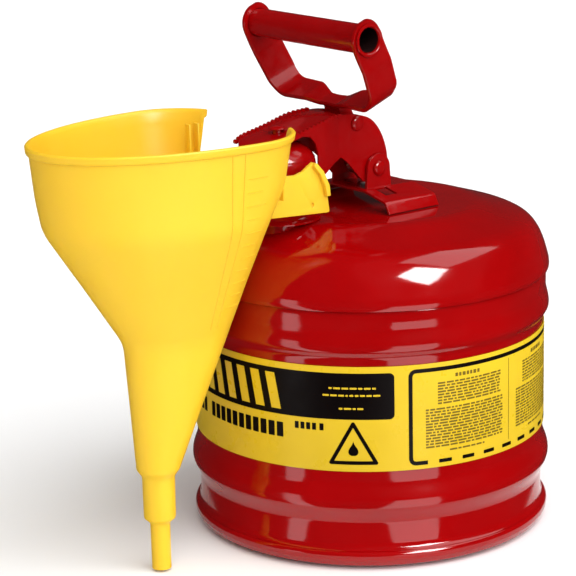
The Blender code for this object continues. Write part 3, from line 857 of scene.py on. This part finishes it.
def funnel_ring(z, level, inset=0.0):
    """Level ring: half an ellipse in front, then round corners back to a flat rear wall."""
    half, front, widest, corner = level
    half, front, corner = half - inset, front + inset, max(corner - inset, 0.8)
    ring = [(half * x, widest + (widest - front) * y) for x, y in arc((0, 0), 1, 180, 360, 60)]
    rear = arc((half - corner, widest), corner, 0, 90, 16)[1:]
    ring += rear + [(-x, y) for x, y in reversed(rear)]
    return [(x, y, z) for x, y in ring]


def funnel_wall(x_sign, y, z):
    """The outer face of the funnel's side at a place along it and a height."""
    half, front, widest, corner = funnel_level(z, 4)
    if y < widest:
        return x_sign * half * math.sqrt(max(1 - ((widest - y) / (widest - front)) ** 2, 0))
    return x_sign * (half - corner + math.sqrt(max(corner ** 2 - (y - widest) ** 2, 0)))


def raised_line(points, side, width=0.9, height=0.5):
    """A moulded line on the funnel's side, through (y, z) points."""
    rings = []
    for (y, z), (ya, za), (yb, zb) in zip(points, offset_path(points, width / 2),
                                          offset_path(points, -width / 2)):
        rings.append([(funnel_wall(side, ya, za) - side * 0.3, ya, za),
                      (funnel_wall(side, y, z) + side * height, y, z),
                      (funnel_wall(side, yb, zb) - side * 0.3, yb, zb)])
    return lofted(rings)


def funnel_scale(side):
    """Two upright lines moulded on the funnel's side, and a row of plain graduation ticks."""
    heights = range(278, 158, -4)
    marks = [raised_line([(-160 + 0.06 * (278 - z), z) for z in heights], side),
             raised_line([(-151 + 0.02 * (278 - z), z) for z in heights], side)]
    for i in range(11):
        z = 262 - 8.6 * i
        start = -148 + 0.02 * (278 - z)
        points = 7 if i % 2 else 9
        marks.append(raised_line([(start + 1.8 * k, z) for k in range(points)], side, 0.8, 0.4))
    return marks


def funnel_fittings(side):
    """Ribs at the open back, and the ear with its flange and boss that clips to the spout."""
    fittings = []
    for y in (-106.2, -113):
        rib = [(46.5 * side, y), (41.5 * side, y), (41.5 * side, y + 1.6), (46.5 * side, y + 1.6)]
        fittings.append(bevelled(prism(rib, 239, RIM - 8, "Z"), 0.4, 2))
    hole = (-73, 229.2)
    ear = fillet([(-116, 226.5), (-59, 222.6), (-61.0, 237.3), (-71.3, 257), (-79.7, 251.8), (-86, 250.2),
                  (-93, 250.8), (-104, 247), (-116, 240)], 1.5)
    low, high = sorted((side * 31.0, side * 33.5))
    dimple = cylinder(1.6, side * 33.5 - 1.4, side * 33.5 + 1.4, "X", hole, 24)
    fittings.append(bevelled(combined(prism(ear, low, high), ("DIFFERENCE", dimple)), 0.5))
    flange = fillet([(-60.2, 234), (-61.0, 241), (-65.5, 250.5), (-71.3, 257), (-73.2, 254.8),
                     (-68.3, 249), (-64.2, 240.4), (-63.2, 234)], 1.2, 3)
    low, high = sorted((side * 33.0, side * 36.6))
    fittings.append(bevelled(prism(flange, low, high), 0.4, 2))
    low, high = sorted((side * 22.2, side * 32.0))
    fittings.append(bevelled(cylinder(3.0, low, high, "X", hole, 40), 0.5))
    return fittings


def funnel():
    """Thin moulded shell with a rolled lip and an open back, its scales, ribs and ears."""
    wall, lip = 2.0, 5.0
    heights = [TIP, TIP + 1, 10, 20, 30, 31.5, 33, 34.5, 36, 37.5, 45, 55, 62, 64, 65.5, 67, 68.5, 70, 72]
    heights += list(range(76, 140, 8)) + list(range(140, 168, 2)) + list(range(170, 222, 4))
    heights += list(range(222, 262, 2)) + list(range(264, 278, 3))
    outer = [funnel_ring(z, funnel_level(z, 0.8 if z < 72 else 5)) for z in heights]
    lip_profile = ((RIM - lip - 0.6, 0.0), (RIM - lip, 1.3), (RIM - lip + 0.9, 1.8), (RIM - 1.0, 1.8),
                   (RIM - 0.2, 1.2), (RIM + 0.1, 0.3), (RIM - 0.2, -0.8), (RIM - 1.2, -1.4),
                   (RIM - 3.0, -wall))
    for z, out in lip_profile:
        outer.append(funnel_ring(z, funnel_level(min(z, RIM), 1), -out))
    inner = [funnel_ring(z - 1.0 if z > TIP + 1 else z, funnel_level(z, 1 if z < 72 else 5), wall)
             for z in reversed(heights)]
    shell = lofted(outer + inner, closed=True)
    opening = fillet([(-125, 292), (-125, 237), (-90, 237), (-90, 292)], 1.0)
    shell = combined(shell, ("DIFFERENCE", prism(opening, -44, 44)))

    details = []
    for side in (1, -1):
        details += funnel_scale(side) + funnel_fittings(side)
    piece("funnel_shell", merged(shell, *details), PLASTIC, "funnel", "yellow_plastic", "funnel_body")


# ---------------------------------------------------------------- carried CAD pieces

def carried_nodes():
    """The flame arrester's CAD pieces keep their shape and get their own finishes."""
    for node, mat in (("arrester_collar", ZINC), ("arrester_ring", ZINC),
                      ("arrester_outer_screen", SCREEN), ("arrester_inner_screen", SCREEN)):
        mesh = frame["nodes"][node].data
        mesh.materials.clear()
        mesh.materials.append(mat)


# ---------------------------------------------------------------- stage

def floor():
    """Pale floor out to the horizon. Only its middle shows in the paint's reflections."""
    mat = new_material("pale_floor", (0.97, 0.97, 0.97), 0.9, Specular_IOR_Level=0.0)
    for name, inner, outer in (("floor_middle", 0.0, 0.155), ("floor_around", 0.155, 60.0)):
        rings = [[(r * math.cos(math.tau * i / 96), r * math.sin(math.tau * i / 96), 0.0)
                  for i in range(96)] for r in (outer, inner) if r]
        bm = bmesh.new()
        rows = [[bm.verts.new(p) for p in ring] for ring in rings]
        if inner:
            for i in range(96):
                j = (i + 1) % 96
                bm.faces.new((rows[0][i], rows[0][j], rows[1][j], rows[1][i]))
        else:
            bm.faces.new(rows[0])
        bmesh.ops.translate(bm, verts=bm.verts, vec=(0, CAN_Y * MM, 0))
        obj = as_object(name, bm)
        obj.data.materials.append(mat)
        obj.visible_glossy = not inner


CAMERA_AZIMUTH = math.radians(50)        # round from -Y towards +X


def camera():
    """Long lens from the front left of the can, looking slightly down."""
    away, height, lens = 1500, 553.5, 144.6
    pitch, yaw, roll = 0.2588, -0.0357, -0.0222
    forward = Vector((math.sin(yaw) * math.cos(pitch), math.cos(yaw) * math.cos(pitch), -math.sin(pitch)))
    right = Vector((math.cos(yaw), -math.sin(yaw), 0))
    up = right.cross(forward)
    right, up = (math.cos(roll) * right + math.sin(roll) * up, -math.sin(roll) * right + math.cos(roll) * up)
    turn = Matrix.Rotation(CAMERA_AZIMUTH, 3, "Z")
    axes = Matrix((turn @ right, turn @ up, turn @ -forward)).transposed()
    place = turn @ Vector((0, -away, height)) + Vector((0, CAN_Y, 0))
    data = bpy.data.cameras.new("camera")
    data.lens = lens
    data.sensor_width = 36
    obj = bpy.data.objects.new("camera", data)
    obj.matrix_world = Matrix.Translation(place * MM) @ axes.to_4x4()
    bpy.context.collection.objects.link(obj)
    bpy.context.scene.camera = obj


def from_can(azimuth, elevation):
    """A direction from the can: azimuth to the right of the camera, elevation above level."""
    turn, rise = CAMERA_AZIMUTH + math.radians(azimuth), math.radians(elevation)
    return Vector((math.sin(turn) * math.cos(rise), -math.cos(turn) * math.cos(rise), math.sin(rise)))


def soft_sun(name, azimuth, elevation, strength, angle):
    """Even soft light over the whole floor, left out of the paint's reflections."""
    data = bpy.data.lights.new(name, "SUN")
    data.energy = strength
    data.angle = math.radians(angle)
    obj = bpy.data.objects.new(name, data)
    obj.matrix_world = from_can(azimuth, elevation).to_track_quat("Z", "Y").to_matrix().to_4x4()
    obj.visible_glossy = False
    bpy.context.collection.objects.link(obj)


def softbox(name, azimuth, elevation, width, height, radiance, tilt=0.0):
    """A card of light that shows as a highlight; its sides are given in degrees seen from the can."""
    distance = 1.8
    data = bpy.data.lights.new(name, "AREA")
    data.shape = "RECTANGLE"
    data.size = 2 * distance * math.tan(math.radians(width / 2))
    data.size_y = 2 * distance * math.tan(math.radians(height / 2))
    data.energy = radiance * math.pi * data.size * data.size_y
    direction = from_can(azimuth, elevation)
    look = direction.to_track_quat("Z", "Y").to_matrix().to_4x4()
    place = Vector((0, CAN_Y * MM, 0.17)) + direction * distance
    obj = bpy.data.objects.new(name, data)
    obj.matrix_world = Matrix.Translation(place) @ look @ Matrix.Rotation(math.radians(tilt), 4, "Z")
    obj.visible_camera = False
    obj.visible_diffuse = False
    bpy.context.collection.objects.link(obj)


def lights():
    """Soft light from the front right, and the softboxes that the paint reflects."""
    soft_sun("key", 46, 42, 3.4, 80)
    soft_sun("fill", -30, 75, 1.5, 140)
    softbox("high_right", 38, 32, 22, 22, 28, 45)
    softbox("box_right", 28, -34, 30, 56, 2.2)
    softbox("box_left", -48, -30, 12, 66, 2.2)
    softbox("far_right", 85, 55, 46, 34, 2.4)
    world = bpy.data.worlds.new("surroundings")
    world.use_nodes = True
    background = world.node_tree.nodes["Background"]
    background.inputs["Color"].default_value = (1, 1, 1, 1)
    background.inputs["Strength"].default_value = 0.03
    bpy.context.scene.world = world
    bpy.context.scene.view_settings.view_transform = "Standard"


# ---------------------------------------------------------------- assembly

camera()
floor()
lights()

can_body()
spout()
label()
bracket()
pin("lever_pin_rivet", LEVER_AXIS, "lever_pin", "can")
torsion_spring()
lever()
pin("handle_pin_rivet", HANDLE_AXIS, "handle_pin", "lever")
cap()
handle()
funnel()
carried_nodes()
